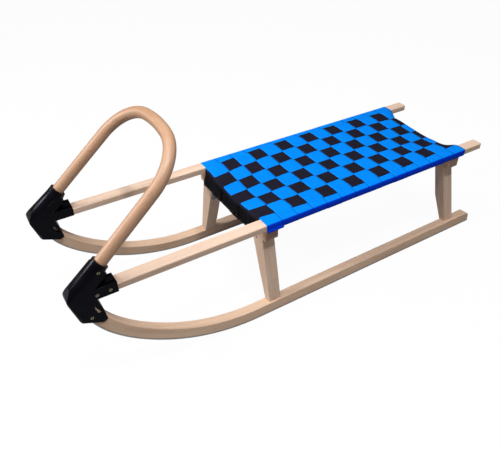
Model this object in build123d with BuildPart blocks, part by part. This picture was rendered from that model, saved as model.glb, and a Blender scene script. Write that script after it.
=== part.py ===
from build123d import *
import os
from math import atan2, cos, degrees, radians, sin

# Wooden sled with curled runners, a woven seat and a bent bow handle.
# Millimetres. +X is forwards, +Y is left, +Z is up, and the sled stands on z = 0.
# The pieces of the left side are modelled first, and mirrored for the right side at the end.

os.makedirs("parts", exist_ok=True)

# ---------- driving dimensions ----------

# The two side frames lean inwards. Heights along them are measured up the lean,
# and widths outwards from the runner's inner face.
CANT = 5.5
TRACK_HALF = 153.7

# Runners: a straight sole, then three bends that tighten towards the front
RUNNER_REAR_X = -555.0
BEND_START_X = 159.4
SOLE_BENDS = ((482.0, 35.7), (331.0, 11.3), (200.0, 16.0))
HORN_LENGTH = 44.0
RUNNER_WIDTH = 25.5
RUNNER_DEPTH = 26.5
RUNNER_TAIL_BEVEL = 6.0
SHOE_THICKNESS = 2.5

# Rails that carry the seat. Each one is thinned where it enters its bracket.
RAIL_INNER_Y = 125.0
RAIL_WIDTH = 28.5
RAIL_THICKNESS = 15.6
RAIL_TOP_Z = 241.4
RAIL_REAR_X = -556.0
RAIL_FRONT_X = 500.0
RAIL_TAIL_CORNER = 5.0
RAIL_TAIL_EDGE = 1.5
TENON_WIDTH = 26.5
TENON_THICKNESS = 10.8

# Cross beams under the rails
BEAM_WIDTH = 32.0
BEAM_THICKNESS = 30.0
BEAM_LENGTH = 306.0
BEAM_BEVEL = 4.0
FRONT_BEAM_X = 113.5
REAR_BEAM_X = -457.0

# Legs: each one splays out and narrows from the beam down to the runner, with a
# knee in its inner edge. Its thickness along the sled stays the same.
LEG_THICKNESS = 31.0
FRONT_LEG_RAKE = 0.6
FRONT_LEG_TOP_INNER_Y = 95.0
FRONT_LEG_TOP_OUTER_Y = 138.0
FRONT_LEG_KNEE_Y = 127.5
FRONT_LEG_KNEE_Z = 94.0
FRONT_LEG_FOOT_INNER_Y = 151.2
FRONT_LEG_FOOT_OUTER_Y = 171.6
REAR_LEG_RAKE = 7.4
REAR_LEG_TOP_INNER_Y = 108.5
REAR_LEG_TOP_OUTER_Y = 137.0
REAR_LEG_KNEE_Y = 123.5
REAR_LEG_KNEE_Z = 100.0
REAR_LEG_FOOT_INNER_Y = 150.8
REAR_LEG_FOOT_OUTER_Y = 168.0

# Bow: a round bar bent into an arch that leans back over the seat
BOW_RADIUS = 12.5
BOW_FOOT_X = 473.0
BOW_FOOT_Y = 138.0
BOW_FOOT_Z = 295.8
BOW_SLOPE = 41.5
BOW_LEG_LEAN = 1.9
BOW_LEG_LENGTH = 150.0
BOW_HEIGHT = 249.0
BOW_CORNER_RADIUS = 100.0
BOW_SEAT_DEPTH = 70.0

# Corner brackets. Their outline in the side frame is given from the mouth of the tube
# round the nose and the chin to the heel, and on to the sleeve.
MOUTH_FRONT = (494.5, 299.7)
BROW = (541.0, 263.3)
NOSE_TOP = (553.2, 243.5)
NOSE_BASE = (553.2, 234.5)
CHIN_FRONT = (541.2, 190.5)
CHIN_BASE = (537.5, 186.0)
HEEL_FRONT = (500.4, 170.0)
HEEL_REAR = (490.5, 174.5)
THROAT = (494.0, 200.5)
MOUTH_REAR = (473.0, 274.0)
BRACKET_INNER_W = -7.5
BRACKET_OUTER_W = 28.5
BRACKET_EDGE = 2.0
TOP_ROUNDING = 17.0
FRONT_ROUNDING = 6.5
NOSE_RADIUS = 18.0
CHIN_RADIUS = 4.0
TUBE_RADIUS = 17.0
RIM_DROP = 5.0
SLEEVE_REAR_X = 459.0
SLEEVE_FRONT_X = 501.0
SLEEVE_TOP_S = 249.0
SLEEVE_BASE_S = 226.0
POCKET_FRONT_X = 481.0
POCKET_FLOOR_S = 245.5
POCKET_WALL = 3.0
WEB_THICKNESS = 13.0
SLOT_LENGTH = 21.0
SLOT_WIDTH = 6.5
SLOT_CENTRE = (504.4, 203.9)
SLOT_TILT = 71.0
SOCKET_GAP = 0.25

# Seat webbing
TAPE_THICKNESS = 1.6
SEAT_EDGE_RADIUS = 3.5
SEAT_OVERHANG = 17.5
SKIRT_BASE_Z = 226.2
FLAP_BASE_Z = 186.5
FLAP_TOP_HALF = 122.0
FLAP_BASE_HALF = 131.0

# ---------- sizes worked out from them ----------

SEAT_FRONT_X = FRONT_BEAM_X + BEAM_WIDTH / 2
SEAT_REAR_X = REAR_BEAM_X - BEAM_WIDTH / 2 - SEAT_OVERHANG
RAIL_BASE_Z = RAIL_TOP_Z - RAIL_THICKNESS
RAIL_OUTER_Y = RAIL_INNER_Y + RAIL_WIDTH
TENON_Y = RAIL_OUTER_Y - TENON_WIDTH / 2
BEAM_BASE_Z = RAIL_BASE_Z - BEAM_THICKNESS
BRACKET_WIDTH = BRACKET_OUTER_W - BRACKET_INNER_W
BRACKET_MIDDLE_W = (BRACKET_OUTER_W + BRACKET_INNER_W) / 2
HORN_TILT = sum(turn for radius, turn in SOLE_BENDS)
UP_FRAME = Vector(0, -sin(radians(CANT)), cos(radians(CANT)))
OUT_OF_FRAME = Vector(0, cos(radians(CANT)), sin(radians(CANT)))
RUNNER_TOP = Vector(0, TRACK_HALF, 0) + UP_FRAME * RUNNER_DEPTH


def frame_plane(width):
    """The leaning plane of the left side frame, a given width outwards from the runner's inner face."""
    return Plane(origin=Vector(0, TRACK_HALF, 0) + OUT_OF_FRAME * width, x_dir=(1, 0, 0), z_dir=-OUT_OF_FRAME)


def bar_plane(x, height, tilt):
    """A plane across the left side frame, facing along a direction in it. Its own x runs outwards."""
    facing = Vector(cos(radians(tilt)), 0, 0) + UP_FRAME * sin(radians(tilt))
    origin = Vector(x, TRACK_HALF, 0) + UP_FRAME * height + OUT_OF_FRAME * BRACKET_MIDDLE_W
    return Plane(origin=origin, x_dir=OUT_OF_FRAME, z_dir=facing)


# ---------- runner ----------

with BuildPart() as runner:
    with BuildSketch(frame_plane(0)):
        with BuildLine():
            corners = []
            for depth in (SHOE_THICKNESS, RUNNER_DEPTH):
                run = Line((RUNNER_REAR_X, depth), (BEND_START_X, depth))
                corners.append(run @ 0)
                for radius, turn in SOLE_BENDS:
                    run = JernArc(run @ 1, run % 1, radius - depth, turn)
                run = Line(run @ 1, run @ 1 + (run % 1) * HORN_LENGTH)
                corners.append(run @ 1)
            Line(corners[0], corners[2])
            Line(corners[1], corners[3])
        make_face()
    extrude(amount=-RUNNER_WIDTH)
    tail = runner.faces().sort_by(Axis.X)[0]
    chamfer(tail.edges().sort_by(Axis.Z)[-1], length=RUNNER_TAIL_BEVEL)

# ---------- steel shoe under the runner ----------

with BuildPart() as runner_shoe:
    with BuildSketch(frame_plane(0)):
        with BuildLine():
            corners = []
            for depth in (0, SHOE_THICKNESS):
                run = Line((RUNNER_REAR_X, depth), (BEND_START_X, depth))
                corners.append(run @ 0)
                for radius, turn in SOLE_BENDS:
                    run = JernArc(run @ 1, run % 1, radius - depth, turn)
                run = Line(run @ 1, run @ 1 + (run % 1) * HORN_LENGTH)
                corners.append(run @ 1)
            Line(corners[0], corners[2])
            Line(corners[1], corners[3])
        make_face()
    extrude(amount=-RUNNER_WIDTH)

# ---------- rail ----------

with BuildPart() as rail:
    with BuildSketch(Plane(origin=(RAIL_REAR_X, 0, 0), x_dir=(0, 1, 0), z_dir=(1, 0, 0))):
        with Locations((RAIL_INNER_Y + RAIL_WIDTH / 2, RAIL_BASE_Z + RAIL_THICKNESS / 2)):
            Rectangle(RAIL_WIDTH, RAIL_THICKNESS)
    extrude(amount=SLEEVE_REAR_X - RAIL_REAR_X - SOCKET_GAP)
    with BuildSketch(Plane(origin=(SLEEVE_REAR_X - SOCKET_GAP, 0, 0), x_dir=(0, 1, 0), z_dir=(1, 0, 0))):
        with Locations((TENON_Y, RAIL_TOP_Z - TENON_THICKNESS / 2)):
            Rectangle(TENON_WIDTH, TENON_THICKNESS)
    extrude(amount=RAIL_FRONT_X - SLEEVE_REAR_X + SOCKET_GAP)
    fillet(rail.faces().sort_by(Axis.X)[0].edges().filter_by(Axis.Z), radius=RAIL_TAIL_CORNER)
    chamfer(rail.faces().sort_by(Axis.X)[0].edges().filter_by(Axis.Y), length=RAIL_TAIL_EDGE)

# ---------- legs ----------

LEGS = (
    (FRONT_BEAM_X, FRONT_LEG_RAKE, FRONT_LEG_TOP_INNER_Y, FRONT_LEG_TOP_OUTER_Y, FRONT_LEG_KNEE_Y,
     FRONT_LEG_KNEE_Z, FRONT_LEG_FOOT_INNER_Y, FRONT_LEG_FOOT_OUTER_Y),
    (REAR_BEAM_X, REAR_LEG_RAKE, REAR_LEG_TOP_INNER_Y, REAR_LEG_TOP_OUTER_Y, REAR_LEG_KNEE_Y,
     REAR_LEG_KNEE_Z, REAR_LEG_FOOT_INNER_Y, REAR_LEG_FOOT_OUTER_Y),
)
# Each leg is drawn a little past both ends, then trimmed to the beam and the runner
SPARE = 12.0
legs = []
for beam_x, rake, top_in, top_out, knee_y, knee_z, foot_in, foot_out in LEGS:
    drop = cos(radians(rake))
    knee_t = (knee_z - BEAM_BASE_Z) / drop
    foot_t = (RUNNER_TOP.Z - BEAM_BASE_Z) / drop
    outer_slope = (foot_out - top_out) / foot_t
    with BuildPart() as leg:
        leg_front = Plane(
            origin=(beam_x, 0, BEAM_BASE_Z),
            x_dir=(0, 1, 0),
            z_dir=(drop, 0, -sin(radians(rake))),
        )
        with BuildSketch(leg_front):
            with BuildLine():
                Polyline(
                    (top_in + SPARE * (knee_y - top_in) / knee_t, SPARE),
                    (knee_y, knee_t),
                    (foot_in - SPARE * (foot_in - knee_y) / (foot_t - knee_t), foot_t - SPARE),
                    (foot_out - SPARE * outer_slope, foot_t - SPARE),
                    (top_out + SPARE * outer_slope, SPARE),
                    close=True,
                )
            make_face()
        extrude(amount=LEG_THICKNESS / 2, both=True)
        split(bisect_by=Plane.XY.offset(BEAM_BASE_Z), keep=Keep.BOTTOM)
        split(bisect_by=Plane(origin=RUNNER_TOP, x_dir=(1, 0, 0), z_dir=UP_FRAME), keep=Keep.TOP)
    legs.append(leg)

# ---------- bow ----------

# Straight legs, a rounded corner on each side, and a shallow crown between the corners
BACK = cos(radians(BOW_SLOPE))
RISE = sin(radians(BOW_SLOPE))
leg_in = sin(radians(BOW_LEG_LEAN))
leg_up = cos(radians(BOW_LEG_LEAN))
bend_y = BOW_FOOT_Y - BOW_LEG_LENGTH * leg_in
bend_v = BOW_LEG_LENGTH * leg_up
corner_y = bend_y - BOW_CORNER_RADIUS * leg_up
corner_v = bend_v - BOW_CORNER_RADIUS * leg_in
over = BOW_HEIGHT - corner_v
crown_radius = (corner_y**2 + over**2 - BOW_CORNER_RADIUS**2) / (2 * (over - BOW_CORNER_RADIUS))
crown_v = BOW_HEIGHT - crown_radius
last_turn = atan2(corner_v - crown_v, corner_y)
half_turn = (last_turn + radians(BOW_LEG_LEAN)) / 2
half_y = corner_y + BOW_CORNER_RADIUS * cos(half_turn)
half_v = corner_v + BOW_CORNER_RADIUS * sin(half_turn)
turn_y = corner_y + BOW_CORNER_RADIUS * cos(last_turn)
turn_v = corner_v + BOW_CORNER_RADIUS * sin(last_turn)
foot_y = BOW_FOOT_Y + BOW_SEAT_DEPTH * leg_in
foot_v = -BOW_SEAT_DEPTH * leg_up

with BuildPart() as bow:
    with BuildLine(Plane(origin=(BOW_FOOT_X, 0, BOW_FOOT_Z), x_dir=(0, 1, 0), z_dir=(RISE, 0, BACK))) as arch:
        Line((foot_y, foot_v), (bend_y, bend_v))
        ThreePointArc((bend_y, bend_v), (half_y, half_v), (turn_y, turn_v))
        ThreePointArc((turn_y, turn_v), (0, BOW_HEIGHT), (-turn_y, turn_v))
        ThreePointArc((-turn_y, turn_v), (-half_y, half_v), (-bend_y, bend_v))
        Line((-bend_y, bend_v), (-foot_y, foot_v))
    with BuildSketch(Plane(origin=arch.line @ 0, z_dir=arch.line % 0)):
        Circle(BOW_RADIUS)
    sweep(path=arch.line)

# ---------- corner bracket ----------

bow_axis = Vector(-BACK * leg_up, -leg_in, RISE * leg_up)
rim_centre = Vector(BOW_FOOT_X, BOW_FOOT_Y, BOW_FOOT_Z) - bow_axis * RIM_DROP
rim_plane = Plane(origin=rim_centre, z_dir=bow_axis)

with BuildPart() as corner_bracket:
    # The body is one thick block in the lean of the side frame
    with BuildSketch(frame_plane(BRACKET_INNER_W)) as outline:
        with BuildLine():
            Polyline(
                MOUTH_FRONT,
                BROW,
                NOSE_TOP,
                NOSE_BASE,
                CHIN_FRONT,
                CHIN_BASE,
                HEEL_FRONT,
                HEEL_REAR,
                THROAT,
                (SLEEVE_FRONT_X, SLEEVE_BASE_S),
                (SLEEVE_REAR_X, SLEEVE_BASE_S),
                (SLEEVE_REAR_X, SLEEVE_TOP_S),
                (SLEEVE_FRONT_X, SLEEVE_TOP_S),
                MOUTH_REAR,
                close=True,
            )
        make_face()
        fillet(outline.vertices().filter_by(lambda corner: corner.X >= BROW[0] and corner.Y > CHIN_FRONT[1]), radius=NOSE_RADIUS)
        fillet(outline.vertices().filter_by(lambda corner: corner.Y <= CHIN_FRONT[1]), radius=CHIN_RADIUS)
    extrude(amount=-BRACKET_WIDTH)
    cheeks = corner_bracket.faces().sort_by(Axis.Y)
    rims = cheeks[0].edges() + cheeks[-1].edges()
    front_x = (HEEL_FRONT[0] + CHIN_BASE[0]) / 2
    fillet(rims.filter_by(lambda edge: edge.center().X < front_x), radius=BRACKET_EDGE)
    # It is rounded over along its top and down its front
    bar_depth = 2 * (CHIN_BASE[0] - MOUTH_REAR[0])
    for start, end, rounding in ((MOUTH_FRONT, BROW, TOP_ROUNDING), (NOSE_BASE, CHIN_FRONT, FRONT_ROUNDING)):
        tilt = degrees(atan2(end[1] - start[1], end[0] - start[0]))
        with BuildSketch(bar_plane((start[0] + end[0]) / 2, (start[1] + end[1]) / 2, tilt)):
            with Locations((0, -bar_depth / 2)):
                RectangleRounded(BRACKET_WIDTH, bar_depth, rounding)
        extrude(amount=2 * bar_depth, both=True, mode=Mode.INTERSECT)
    # A central web joins the sleeve to the tube, inside the notch between them
    with BuildSketch(frame_plane(BRACKET_MIDDLE_W - WEB_THICKNESS / 2)):
        with BuildLine():
            Polyline(
                (MOUTH_REAR[0] - 6.5, MOUTH_REAR[1] + 7.5),
                (MOUTH_REAR[0] + 1.0, MOUTH_REAR[1] - 4.0),
                (POCKET_FRONT_X - POCKET_WALL, POCKET_FLOOR_S),
                (SLEEVE_FRONT_X + 5.0, POCKET_FLOOR_S),
                (MOUTH_REAR[0] + 17.0, MOUTH_REAR[1] + 4.0),
                close=True,
            )
        make_face()
    extrude(amount=-WEB_THICKNESS)
    # An open pocket in the top of the sleeve, on both sides of the web
    pocket_sides = (
        (BRACKET_INNER_W + POCKET_WALL, BRACKET_MIDDLE_W - WEB_THICKNESS / 2),
        (BRACKET_MIDDLE_W + WEB_THICKNESS / 2, BRACKET_OUTER_W - POCKET_WALL),
    )
    for near_w, far_w in pocket_sides:
        with BuildSketch(frame_plane(near_w)):
            with Locations((SLEEVE_REAR_X + POCKET_WALL, POCKET_FLOOR_S)):
                Rectangle(POCKET_FRONT_X - SLEEVE_REAR_X - POCKET_WALL, 20.0, align=(Align.MIN, Align.MIN))
        extrude(amount=near_w - far_w, mode=Mode.SUBTRACT)
    # The tube that takes the foot of the bow
    with BuildSketch(rim_plane):
        Circle(TUBE_RADIUS)
    extrude(amount=RIM_DROP - BOW_SEAT_DEPTH - SOCKET_GAP)
    with BuildSketch(rim_plane):
        Circle(BOW_RADIUS + SOCKET_GAP)
    extrude(amount=RIM_DROP - BOW_SEAT_DEPTH, mode=Mode.SUBTRACT)
    # The sleeve's socket for the rail
    with BuildSketch(Plane(origin=(RAIL_FRONT_X + SOCKET_GAP, 0, 0), x_dir=(0, -1, 0), z_dir=(-1, 0, 0))):
        with Locations((-TENON_Y, RAIL_TOP_Z - TENON_THICKNESS / 2)):
            Rectangle(TENON_WIDTH, TENON_THICKNESS)
    extrude(amount=2 * (RAIL_FRONT_X - SLEEVE_REAR_X), mode=Mode.SUBTRACT)
    # The socket for the top of the runner
    with BuildSketch(frame_plane(0)):
        with BuildLine():
            corners = []
            for depth in (-SOCKET_GAP, RUNNER_DEPTH + SOCKET_GAP):
                run = Line((RUNNER_REAR_X, depth), (BEND_START_X, depth))
                corners.append(run @ 0)
                for radius, turn in SOLE_BENDS:
                    run = JernArc(run @ 1, run % 1, radius - depth, turn)
                run = Line(run @ 1, run @ 1 + (run % 1) * HORN_LENGTH)
                corners.append(run @ 1)
            Line(corners[0], corners[2])
            Line(corners[1], corners[3])
        make_face()
    extrude(amount=-RUNNER_WIDTH, mode=Mode.SUBTRACT)
    # A slot in each cheek, over the back edge of the runner
    for width, depth in ((BRACKET_OUTER_W, BRACKET_OUTER_W - RUNNER_WIDTH), (0, -BRACKET_INNER_W)):
        with BuildSketch(frame_plane(width)):
            with Locations(SLOT_CENTRE):
                SlotOverall(SLOT_LENGTH, SLOT_WIDTH, rotation=SLOT_TILT)
        extrude(amount=depth, mode=Mode.SUBTRACT)

# ---------- pieces that cross the middle: beams, seat webbing and its front flap ----------

beams = []
for beam_x in (FRONT_BEAM_X, REAR_BEAM_X):
    with BuildPart() as beam:
        with Locations((beam_x, 0, BEAM_BASE_Z)):
            Box(BEAM_WIDTH, BEAM_LENGTH, BEAM_THICKNESS, align=(Align.CENTER, Align.CENTER, Align.MIN))
        chamfer(beam.faces().sort_by(Axis.Z)[0].edges().filter_by(Axis.X), length=BEAM_BEVEL)
    beams.append(beam)

with BuildPart() as seat_webbing:
    with BuildSketch(Plane(origin=(SEAT_REAR_X, 0, 0), x_dir=(0, 1, 0), z_dir=(1, 0, 0))):
        with BuildLine():
            Polyline(
                (-RAIL_OUTER_Y - TAPE_THICKNESS, SKIRT_BASE_Z),
                (-RAIL_OUTER_Y - TAPE_THICKNESS, RAIL_TOP_Z + TAPE_THICKNESS),
                (RAIL_OUTER_Y + TAPE_THICKNESS, RAIL_TOP_Z + TAPE_THICKNESS),
                (RAIL_OUTER_Y + TAPE_THICKNESS, SKIRT_BASE_Z),
                (RAIL_OUTER_Y, SKIRT_BASE_Z),
                (RAIL_OUTER_Y, RAIL_TOP_Z),
                (-RAIL_OUTER_Y, RAIL_TOP_Z),
                (-RAIL_OUTER_Y, SKIRT_BASE_Z),
                close=True,
            )
        make_face()
    extrude(amount=SEAT_FRONT_X - SEAT_REAR_X)
    fillet(seat_webbing.edges().filter_by(Axis.X).group_by(Axis.Z)[-1], radius=SEAT_EDGE_RADIUS)

with BuildPart() as seat_flap:
    with BuildSketch(Plane(origin=(SEAT_FRONT_X, 0, 0), x_dir=(0, 1, 0), z_dir=(1, 0, 0))):
        with BuildLine():
            Polyline(
                (-FLAP_BASE_HALF, FLAP_BASE_Z),
                (-FLAP_BASE_HALF, RAIL_BASE_Z),
                (-FLAP_TOP_HALF, RAIL_BASE_Z),
                (-FLAP_TOP_HALF, RAIL_TOP_Z + TAPE_THICKNESS),
                (FLAP_TOP_HALF, RAIL_TOP_Z + TAPE_THICKNESS),
                (FLAP_TOP_HALF, RAIL_BASE_Z),
                (FLAP_BASE_HALF, RAIL_BASE_Z),
                (FLAP_BASE_HALF, FLAP_BASE_Z),
                close=True,
            )
        make_face()
    extrude(amount=TAPE_THICKNESS)

# ---------- names and files ----------

bow.part.label = "bow"
beams[0].part.label = "beam_front"
beams[1].part.label = "beam_rear"
seat_webbing.part.label = "seat_webbing"
seat_flap.part.label = "seat_flap"
for whole in (bow, beams[0], beams[1], seat_webbing, seat_flap):
    export_step(whole.part, f"parts/{whole.part.label}.step")

PAIRS = (
    ("runner", runner),
    ("runner_shoe", runner_shoe),
    ("rail", rail),
    ("leg_front", legs[0]),
    ("leg_rear", legs[1]),
    ("corner_bracket", corner_bracket),
)
for name, half in PAIRS:
    half.part.label = f"{name}_left"
    export_step(half.part, f"parts/{name}_left.step")
    with BuildPart() as twin:
        mirror(half.part, about=Plane.XZ)
    twin.part.label = f"{name}_right"
    export_step(twin.part, f"parts/{name}_right.step")
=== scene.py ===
# %% [markdown]
# # A wooden sled with a woven webbing seat
# The sled comes from CAD at its real size, in metres: +X is forwards, +Y is to the left, +Z is up.
# Here it gets what CAD leaves out: woven tapes, finishes for wood, plastic and steel, screws,
# nails, staples and braces. Every cell makes one thing and prints what it made, so the script can
# be read and run from top to bottom.

import math

import bmesh
import bpy
import numpy as np
from mathutils import Matrix, Vector


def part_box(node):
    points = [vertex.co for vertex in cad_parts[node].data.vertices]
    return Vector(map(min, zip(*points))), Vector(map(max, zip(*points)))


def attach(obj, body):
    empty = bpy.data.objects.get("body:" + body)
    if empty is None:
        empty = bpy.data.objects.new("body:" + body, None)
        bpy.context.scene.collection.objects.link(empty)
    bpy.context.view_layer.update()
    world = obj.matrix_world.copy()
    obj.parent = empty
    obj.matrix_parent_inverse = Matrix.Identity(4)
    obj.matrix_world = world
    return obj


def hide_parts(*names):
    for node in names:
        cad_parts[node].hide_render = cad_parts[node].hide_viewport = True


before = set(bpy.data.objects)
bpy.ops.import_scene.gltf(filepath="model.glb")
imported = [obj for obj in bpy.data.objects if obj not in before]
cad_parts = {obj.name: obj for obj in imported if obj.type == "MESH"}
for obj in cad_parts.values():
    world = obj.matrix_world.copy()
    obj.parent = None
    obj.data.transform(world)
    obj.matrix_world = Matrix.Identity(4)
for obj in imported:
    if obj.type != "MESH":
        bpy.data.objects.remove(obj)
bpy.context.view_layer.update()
print("pieces from CAD:", ", ".join(sorted(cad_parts)))

# %% [markdown]
# ## Camera, floor and light
# The sled stands on a white floor, seen from its front left and from above. A softbox overhead
# makes the tops of the rails bright and leaves their sides in soft shade, a small key lamp beside
# it gives the bow its crisp shadow, and a third lamp lights the front. A plain white floor would
# throw so much light upwards that the undersides and the black plastic turn grey. So the floor and
# the room are white only to the camera, and much darker to every other ray, and the floor still
# holds a shadow.


# %% Camera
def link_object(name, data):
    """A new object at the origin, in the scene."""
    made = bpy.data.objects.new(name, data)
    bpy.context.scene.collection.objects.link(made)
    return made


LENS_MM, SENSOR_MM = 37.36, 36.0
CAMERA_PLACE = (0.6126, 0.8761, 0.9134)
CAMERA_RIGHT, CAMERA_UP = (-0.8513, 0.5247, -0.0032), (-0.3220, -0.5176, 0.7927)
camera_data = bpy.data.cameras.new("camera")
camera_data.lens = LENS_MM
camera_data.sensor_width = SENSOR_MM
camera_data.clip_start = 0.01
camera = link_object("camera", camera_data)
right, up = Vector(CAMERA_RIGHT).normalized(), Vector(CAMERA_UP)
up = (up - right * up.dot(right)).normalized()
turn = Matrix((right, up, right.cross(up))).transposed()
camera.matrix_world = Matrix.Translation(CAMERA_PLACE) @ turn.to_4x4()
bpy.context.scene.camera = camera
bpy.context.scene.view_settings.view_transform = "Standard"
print("camera at", CAMERA_PLACE, "with a lens of", LENS_MM, "mm")


# %% Helpers for node trees
def join(tree, output, target):
    """Links an output socket to an input, or sets the input to a plain value."""
    if isinstance(output, bpy.types.NodeSocket):
        tree.links.new(output, target)
    else:
        target.default_value = output


def add_node(tree, kind, settings=None, **inputs):
    """A node with some of its settings and inputs filled in. Input names use _ for a space."""
    node = tree.nodes.new(kind)
    for name, value in (settings or {}).items():
        setattr(node, name, value)
    for name, value in inputs.items():
        join(tree, value, node.inputs[name.replace("_", " ")])
    return node


def calc(tree, operation, *values):
    """A Math node. Values are sockets or numbers."""
    node = add_node(tree, "ShaderNodeMath", {"operation": operation})
    for value, target in zip(values, node.inputs):
        join(tree, value, target)
    return node.outputs[0]


def ramp(tree, value, low, high, to_low=0.0, to_high=1.0, curve="SMOOTHSTEP"):
    """A Map Range node, which turns low..high into to_low..to_high."""
    node = add_node(tree, "ShaderNodeMapRange", {"interpolation_type": curve})
    for number, target in zip((value, low, high, to_low, to_high), node.inputs):
        join(tree, number, target)
    return node.outputs[0]


def blend(tree, share, low, high):
    """A number that is low where share is 0 and high where share is 1."""
    return ramp(tree, share, 0.0, 1.0, low, high, curve="LINEAR")


print("helpers ready")

# %% A room that only looks white
FILL = 0.13
WHITE = (1, 1, 1, 1)
world = bpy.data.worlds.new("soft room")
bpy.context.scene.world = world
world.use_nodes = True
sky = world.node_tree
sky.nodes.clear()
rays = add_node(sky, "ShaderNodeLightPath").outputs
seen = calc(sky, "MAXIMUM", rays["Is Camera Ray"], rays["Is Transmission Ray"])
background = add_node(
    sky, "ShaderNodeBackground", Color=WHITE, Strength=blend(sky, seen, FILL, 1.0)
)
join(sky, background.outputs[0], add_node(sky, "ShaderNodeOutputWorld").inputs[0])
print("the room is white to look at, and lights the sled with a strength of", FILL)


# %% A floor that only looks white
def new_material(name):
    """A material, with its node tree and its Principled surface."""
    made = bpy.data.materials.new(name)
    made.use_nodes = True
    return made, made.node_tree, made.node_tree.nodes["Principled BSDF"]


FLOOR_HALF = 9
FLOOR_BOUNCE, FLOOR_TONE, FLOOR_GLOW = 0.36, 0.98, 0.965
floor_mesh = bpy.data.meshes.new("floor")
corners = [(x * FLOOR_HALF, y * FLOOR_HALF, 0) for x, y in ((-1, -1), (1, -1), (1, 1), (-1, 1))]
floor_mesh.from_pydata(corners, [], [(0, 1, 2, 3)])
floor = link_object("floor", floor_mesh)
paper, tree, _ = new_material("white floor")
tree.nodes.clear()
seen = add_node(tree, "ShaderNodeLightPath").outputs["Is Camera Ray"]
tone = blend(tree, seen, FLOOR_BOUNCE, FLOOR_TONE)
plain = add_node(tree, "ShaderNodeBsdfDiffuse", Color=tone)
glow = add_node(tree, "ShaderNodeEmission", Color=WHITE, Strength=1.0)
share = add_node(tree, "ShaderNodeMixShader", Fac=calc(tree, "MULTIPLY", seen, FLOOR_GLOW))
join(tree, plain.outputs[0], share.inputs[1])
join(tree, glow.outputs[0], share.inputs[2])
join(tree, share.outputs[0], add_node(tree, "ShaderNodeOutputMaterial").inputs[0])
floor_mesh.materials.append(paper)
print("floor of", 2 * FLOOR_HALF, "metres")


# %% Lamps
def softbox(name, place, aim, size, watts):
    """A rectangular lamp that stands at a place and points at another."""
    lamp = bpy.data.lights.new(name, "AREA")
    lamp.shape = "RECTANGLE"
    lamp.size, lamp.size_y = size
    lamp.energy = watts
    made = link_object(name, lamp)
    made.location = place
    made.rotation_euler = (Vector(aim) - Vector(place)).to_track_quat("-Z", "Y").to_euler()


softbox("overhead", (0.6, 0.15, 2.2), (0.1, -0.05, 0.2), (1.5, 1.0), 28.0)
softbox("key", (-0.05, 0.78, 2.25), (0.0, 0.0, 0.25), (0.12, 0.12), 14.0)
softbox("front", (2.1, -1.0, 1.5), (0.1, 0.0, 0.2), (0.7, 0.7), 30.0)
print("lamps:", ", ".join(f"{lamp.name} {lamp.energy:.0f} W" for lamp in bpy.data.lights))

# %% [markdown]
# ## The shape of the stretched seat
# Tapes run across the sled over both rails, and others run along it through them. At both ends the
# lengthwise tapes are pulled together and down over a cross beam, so the seat is flat in its
# middle and dips towards its ends. A cloth simulation could find such a shape, but it is slow, and
# it loosens tapes that are really taut. So the shape is written down as a rule, alone at first,
# without the weave: a smooth sheet with two coordinates, u backwards from the front edge and v
# outwards to the left, both measured along the cloth. The woven tapes are laid on it later.


# %% Sizes of the seat, in millimetres
def to_mm(box):
    """The lowest and the highest corner of a box."""
    return [[c * 1000 for c in corner] for corner in box]


MM = 0.001
rail_low, rail_high = to_mm(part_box("rail_left"))
flap_low = to_mm(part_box("seat_flap"))[0]
RAIL_TOP, RAIL_BASE = rail_high[2], rail_low[2]
CLOTH = 1.0
CROSS_TAPES, CROSS_PITCH, CROSS_WIDTH = 15, 41.2, 40.96
LONG_TAPES, LONG_PITCH, LONG_WIDTH = 6, 46.2, 40.8
FIRST_LONG = -(LONG_TAPES - 1) / 2 * LONG_PITCH
# Along the sled: the front edge, the flap over the front beam and the turn behind the rear beam
FRONT_X = 124.8
FLAP_X, FLAP_BASE = flap_low[0] + 1.3, flap_low[2]
REAR_FACE_X = to_mm(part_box("beam_rear"))[0][0] - 1.4
SEAT_RUN, FRONT_RUN, REAR_RUN = CROSS_TAPES * CROSS_PITCH, 62.0, 22.0
FRONT_BEND, REAR_BEND = 8.0, 5.0
# Across it: the rail's outer edge, and where the outermost lengthwise tape ends on the rail
EDGE_V, BAND_V = 150.5, 139.5
print("rails from", rail_low[1], "to", rail_high[1], "and the seat is", SEAT_RUN, "long")


# %% How the cloth narrows and dips along the seat
def smooth(x, low, high):
    """0 up to low, 1 from high on, and an S-shaped rise between them."""
    t = np.clip((x - low) / (high - low), 0.0, 1.0)
    return t * t * (3 - 2 * t)


def rising(x, start, run, power):
    """0 before start, 1 one run past it, and on as a power. A negative run leads backwards."""
    return np.clip((x - start) / run, 0, None) ** power


def gather(x):
    """How far lengthwise tapes are pulled in, as a share of their distance from the middle."""
    return 0.115 * rising(x, -100, 204, 1.8) + 0.110 * rising(x, -210, -250, 1.8)


def dip(x):
    """How deep the seat's middle lies below its edges."""
    return 2.2 + 9.3 * rising(x, -140, 244, 2.1) + 7.8 * rising(x, -200, -260, 1.65)


both_ends = np.array([FRONT_X, FRONT_X - SEAT_RUN])
print("share pulled in at the ends:", gather(both_ends).round(3))
print("depth of the middle there:", dip(both_ends).round(1), "mm")

# %% Over the rails' outer edges
SIDE_BEND, TUCK_BEND = 5.0, 1.4
SIDE_OUT = 3.6  # from the edge to the cloth on the rail's outer face
OVER_RAIL, UNDER_RAIL = 0.6, 0.55  # from the rail to the middle of the cloth
LIP_OUT, LIP_START, LIP_END = 2.6, 12.5, 17.0  # how the first tape's free end stands off


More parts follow.
